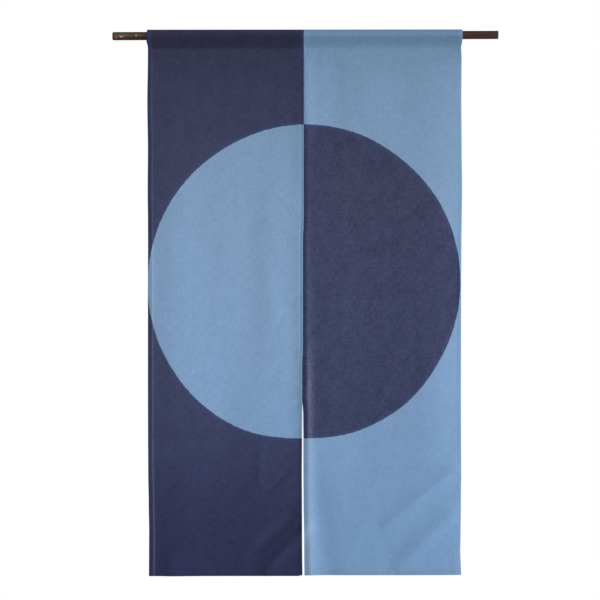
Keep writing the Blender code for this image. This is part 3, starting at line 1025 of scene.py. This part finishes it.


# Rod finish, linear: where along it the wood is paler and by what share, where it is palest and how
# much darker the rest is, the heights about its axis between which the paler wood turns from red to
# olive, the painted shade of a dark line above its axis, and the painted glints near its left end and
# how far they cover
WOOD_DARK = (0.034, 0.021, 0.015, 1.0)
WOOD_BROWN = (0.082, 0.052, 0.036, 1.0)
WOOD_OLIVE = (0.128, 0.087, 0.054, 1.0)
WOOD_RED = (0.062, 0.029, 0.018, 1.0)
WOOD_GLINT = (0.52, 0.31, 0.22, 1.0)
PALER_LEFT_OF = (-0.400, -0.470)
PALER_SHARE = 0.85
PALEST_LEFT_OF = (-0.480, -0.500)
LESS_PALE_SHADE = 0.68
RED_TO_OLIVE = (-0.0055, 0.0005)
PAINTED_TOP_SHADE_FROM = (0.0050, 0.0085)
PAINTED_TOP_SHADE_FACTOR = 0.30
GLINTS_COVER = 0.95
PAINTED_GLINTS = (
    # x, z, half_length, half_height
    (-0.5049, -0.0044, 0.0066, 0.0021),
    (-0.5181, -0.0066, 0.0024, 0.0016),
    (-0.4640, -0.0010, 0.0030, 0.0018),
)


def glints_share(n, x, z):
    """How far the painted glints, pale highlight spots, show at a point of the rod."""
    total = 0.0
    for spot_x, spot_z, half_length, half_height in PAINTED_GLINTS:
        along = n.math("DIVIDE", n.math("SUBTRACT", x, spot_x), half_length)
        across = n.math("DIVIDE", n.math("SUBTRACT", z, spot_z), half_height)
        distance = n.math("SQRT", n.math("ADD", n.math("POWER", n.math("ABSOLUTE", along), 2.0),
                                         n.math("POWER", n.math("ABSOLUTE", across), 2.0)))
        total = n.math("ADD", n.ramp(distance, 0.3, 1.3, 1.0, 0.0), total)
    return total


def rod_material():
    """Dark stained wood with a long grain, lighter and mottled towards its left end, with painted shade
    along its top and painted highlight glints near its left end.
    """
    n = Nodes("rod_stained_wood")
    place = n.add("TexCoord").outputs["Object"]
    parts = n.add("SeparateXYZ", {0: place})
    x, z = parts.outputs["X"], parts.outputs["Z"]
    grain = n.noise(place, (14.0, 420.0, 420.0), 4.0, 0.6)
    patches = n.noise(place, (60.0, 130.0, 130.0), 3.0, 0.6)
    dark = n.mix(n.ramp(grain, 0.3, 0.7), WOOD_DARK, WOOD_BROWN)
    above_axis = n.math("MULTIPLY_ADD", x, -math.tan(ROD_TILT), z)
    paler = n.mix(n.ramp(above_axis, *RED_TO_OLIVE), WOOD_RED, WOOD_OLIVE)
    paler = n.scaled(paler, n.ramp(patches, 0.3, 0.7, 0.65, 1.35))
    paler = n.scaled(paler, n.ramp(x, PALEST_LEFT_OF[1], PALEST_LEFT_OF[0], 1.0, LESS_PALE_SHADE))
    share = n.math("MULTIPLY", n.ramp(x, PALER_LEFT_OF[1], PALER_LEFT_OF[0], 1.0, 0.0), PALER_SHARE)
    colour = n.mix(share, dark, paler)
    # Painted shade: a dark line along the rod's top
    colour = n.scaled(colour, n.ramp(above_axis, *PAINTED_TOP_SHADE_FROM, 1.0, PAINTED_TOP_SHADE_FACTOR))
    # Painted highlight: pale glints near the rod's left end
    colour = n.mix(n.math("MULTIPLY", glints_share(n, x, z), GLINTS_COVER), colour, WOOD_GLINT)
    bump = n.add("Bump", {"Height": grain, "Strength": 0.35, "Distance": 0.0005})
    surface = n.add("BsdfPrincipled", {"Base Color": colour, "Normal": bump.outputs[0]})
    n.set(surface.inputs["Roughness"], n.ramp(grain, 0.3, 0.7, 0.5, 0.68))
    surface.inputs["Specular IOR Level"].default_value = 0.10
    out = n.add("OutputMaterial")
    n.tree.links.new(surface.outputs[0], out.inputs["Surface"])
    return n.material


def build_world():
    """A white surround behind the curtain, and soft light from all around."""
    world = bpy.data.worlds.new("studio")
    bpy.context.scene.world = world
    world.use_nodes = True
    tree = world.node_tree
    tree.nodes.clear()
    seen = tree.nodes.new("ShaderNodeLightPath")
    backdrop = tree.nodes.new("ShaderNodeBackground")
    backdrop.inputs["Color"].default_value = (1.0, 1.0, 1.0, 1.0)
    backdrop.inputs["Strength"].default_value = 1.0
    soft = tree.nodes.new("ShaderNodeBackground")
    soft.inputs["Color"].default_value = SURROUND
    soft.inputs["Strength"].default_value = 1.0
    mix = tree.nodes.new("ShaderNodeMixShader")
    out = tree.nodes.new("ShaderNodeOutputWorld")
    tree.links.new(seen.outputs["Is Camera Ray"], mix.inputs[0])
    tree.links.new(soft.outputs[0], mix.inputs[1])
    tree.links.new(backdrop.outputs[0], mix.inputs[2])
    tree.links.new(mix.outputs[0], out.inputs["Surface"])


def build_key_light():
    """One large soft light, high and to the right of the front."""
    data = bpy.data.lights.new("key", "SUN")
    data.energy = KEY_STRENGTH
    data.angle = KEY_ANGLE
    data.color = KEY_COLOUR
    key = bpy.data.objects.new("key", data)
    towards = Vector(KEY_FROM)
    key.rotation_euler = towards.to_track_quat("Z", "Y").to_euler()
    key.location = towards * 4
    bpy.context.scene.collection.objects.link(key)


def build_back_light():
    """A wide soft light behind the curtain that shines through the sheer cloth."""
    data = bpy.data.lights.new("through", "AREA")
    data.shape = "RECTANGLE"
    data.size, data.size_y = BACK_LIGHT_SIZE
    data.energy = BACK_LIGHT_POWER
    data.color = BACK_LIGHT_COLOUR
    light = bpy.data.objects.new("through", data)
    light.location = (0.0, BACK_LIGHT_DISTANCE, BACK_LIGHT_HEIGHT)
    light.rotation_euler = (math.radians(-90), 0.0, 0.0)
    light.visible_camera = False
    bpy.context.scene.collection.objects.link(light)


def build_camera():
    data = bpy.data.cameras.new("camera")
    data.sensor_width = SENSOR
    data.lens = SENSOR * CAMERA_DISTANCE / (PIXEL * PHOTO_PIXELS)
    camera = bpy.data.objects.new("camera", data)
    camera.location = (CAMERA_X, -CAMERA_DISTANCE, CAMERA_Z)
    camera.rotation_euler = (math.radians(90), 0.0, 0.0)
    bpy.context.scene.collection.objects.link(camera)
    bpy.context.scene.camera = camera


def build_floor():
    """A round pale floor, well below the curtain."""
    n = Nodes("floor_paint")
    place = n.add("TexCoord").outputs["Object"]
    speckle = n.noise(place, (30.0, 30.0, 30.0), 4.0)
    colour = n.mix(speckle, *FLOOR_COLOURS)
    surface = n.add("BsdfPrincipled", {"Base Color": colour, "Roughness": 0.85})
    out = n.add("OutputMaterial")
    n.tree.links.new(surface.outputs[0], out.inputs["Surface"])
    bpy.ops.mesh.primitive_circle_add(
        vertices=FLOOR_CORNERS, radius=FLOOR_RADIUS, fill_type="NGON", location=(0.0, 0.0, FLOOR_Z)
    )
    floor = bpy.context.object
    floor.name = "floor"
    floor.data.materials.append(n.material)


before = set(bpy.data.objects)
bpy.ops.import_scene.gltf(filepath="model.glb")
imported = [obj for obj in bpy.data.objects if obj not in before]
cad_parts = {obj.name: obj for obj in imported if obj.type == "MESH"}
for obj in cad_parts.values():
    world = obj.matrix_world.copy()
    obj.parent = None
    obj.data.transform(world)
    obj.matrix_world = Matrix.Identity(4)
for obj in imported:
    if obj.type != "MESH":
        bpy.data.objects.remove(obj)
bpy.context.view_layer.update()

left = Panel(
    LEFT_EDGES, LEFT_OUTER_HEM, LEFT_INNER_HEM, LEFT_BOTTOM_RISE, LEFT_SLEEVE_PULL, LEFT_DISC, True
)
right = Panel(
    RIGHT_EDGES, RIGHT_INNER_HEM, RIGHT_OUTER_HEM, RIGHT_BOTTOM_RISE, RIGHT_SLEEVE_PULL, RIGHT_DISC, False
)
thread = thread_material()
for side, panel in (("left", left), ("right", right)):
    node = "panel_" + side
    hemp = cloth_material("dyed_hemp_" + side, NAVY_CONTRAST[node])
    cloth = build_panel("cloth_" + side, panel, hemp)
    stitches = build_stitches("stitches_" + side, panel, (left, right), side == "right", thread)
    for piece in (cloth, stitches):
        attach(piece, "root")
    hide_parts(node)

rod = build_rod(rod_material())
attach(rod, "root")
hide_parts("rod")

build_world()
build_key_light()
build_back_light()
build_camera()
build_floor()
bpy.context.scene.view_settings.view_transform = "Standard"
